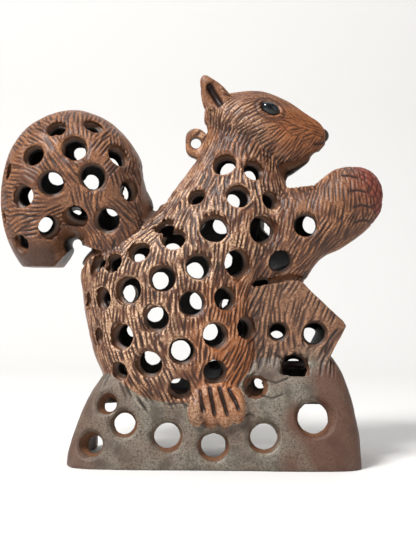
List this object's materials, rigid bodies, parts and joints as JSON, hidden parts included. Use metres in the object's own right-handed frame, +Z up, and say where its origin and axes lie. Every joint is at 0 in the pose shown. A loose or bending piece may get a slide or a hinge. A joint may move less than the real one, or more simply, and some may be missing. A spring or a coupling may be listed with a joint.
{
  "type": "squirrel lantern",
  "caption": "Hollow pierced stoneware lantern shaped as a squirrel holding a nut, on an arched hollow foot open at the back for a candle, with a hanging loop at the nape.",
  "frame": {"origin": "middle of the hollow foot, on the plane it rests on", "axes": "+X the way the squirrel faces, +Y to its left, +Z up"},
  "size_m": [0.2129, 0.091, 0.2123],
  "materials": {
    "fur_clay": "hand-painted unglazed stoneware, matte to satin, brown wash with cream dry-brushed fur ridges",
    "base_clay": "hand-painted unglazed stoneware, matte to satin, grey-green to reddish brown wash, sandy",
    "bark_clay": "hand-painted unglazed stoneware, matte to satin, scored bark with tan dry brushing",
    "eye_glaze": "gloss black glaze",
    "nose_clay": "satin dark brown wash",
    "nut_clay": "hand-painted unglazed stoneware, matte to satin, reddish brown"
  },
  "bodies": {
    "root": {"base_front_shell": "base_clay", "base_back_shell": "base_clay", "stump_front_shell": "bark_clay", "stump_back_shell": "bark_clay", "body_right_shell": "fur_clay", "body_left_shell": "fur_clay", "head": "fur_clay", "ear_right": "fur_clay", "ear_left": "fur_clay", "eye_right": "eye_glaze", "eye_left": "eye_glaze", "nose_tip": "nose_clay", "arm_right": "fur_clay", "arm_left": "fur_clay", "nut": "nut_clay", "tail_right_shell": "fur_clay", "tail_left_shell": "fur_clay", "foot_right": "fur_clay", "foot_left": "fur_clay", "hanging_lug": "fur_clay"}
  },
  "joints": []
}
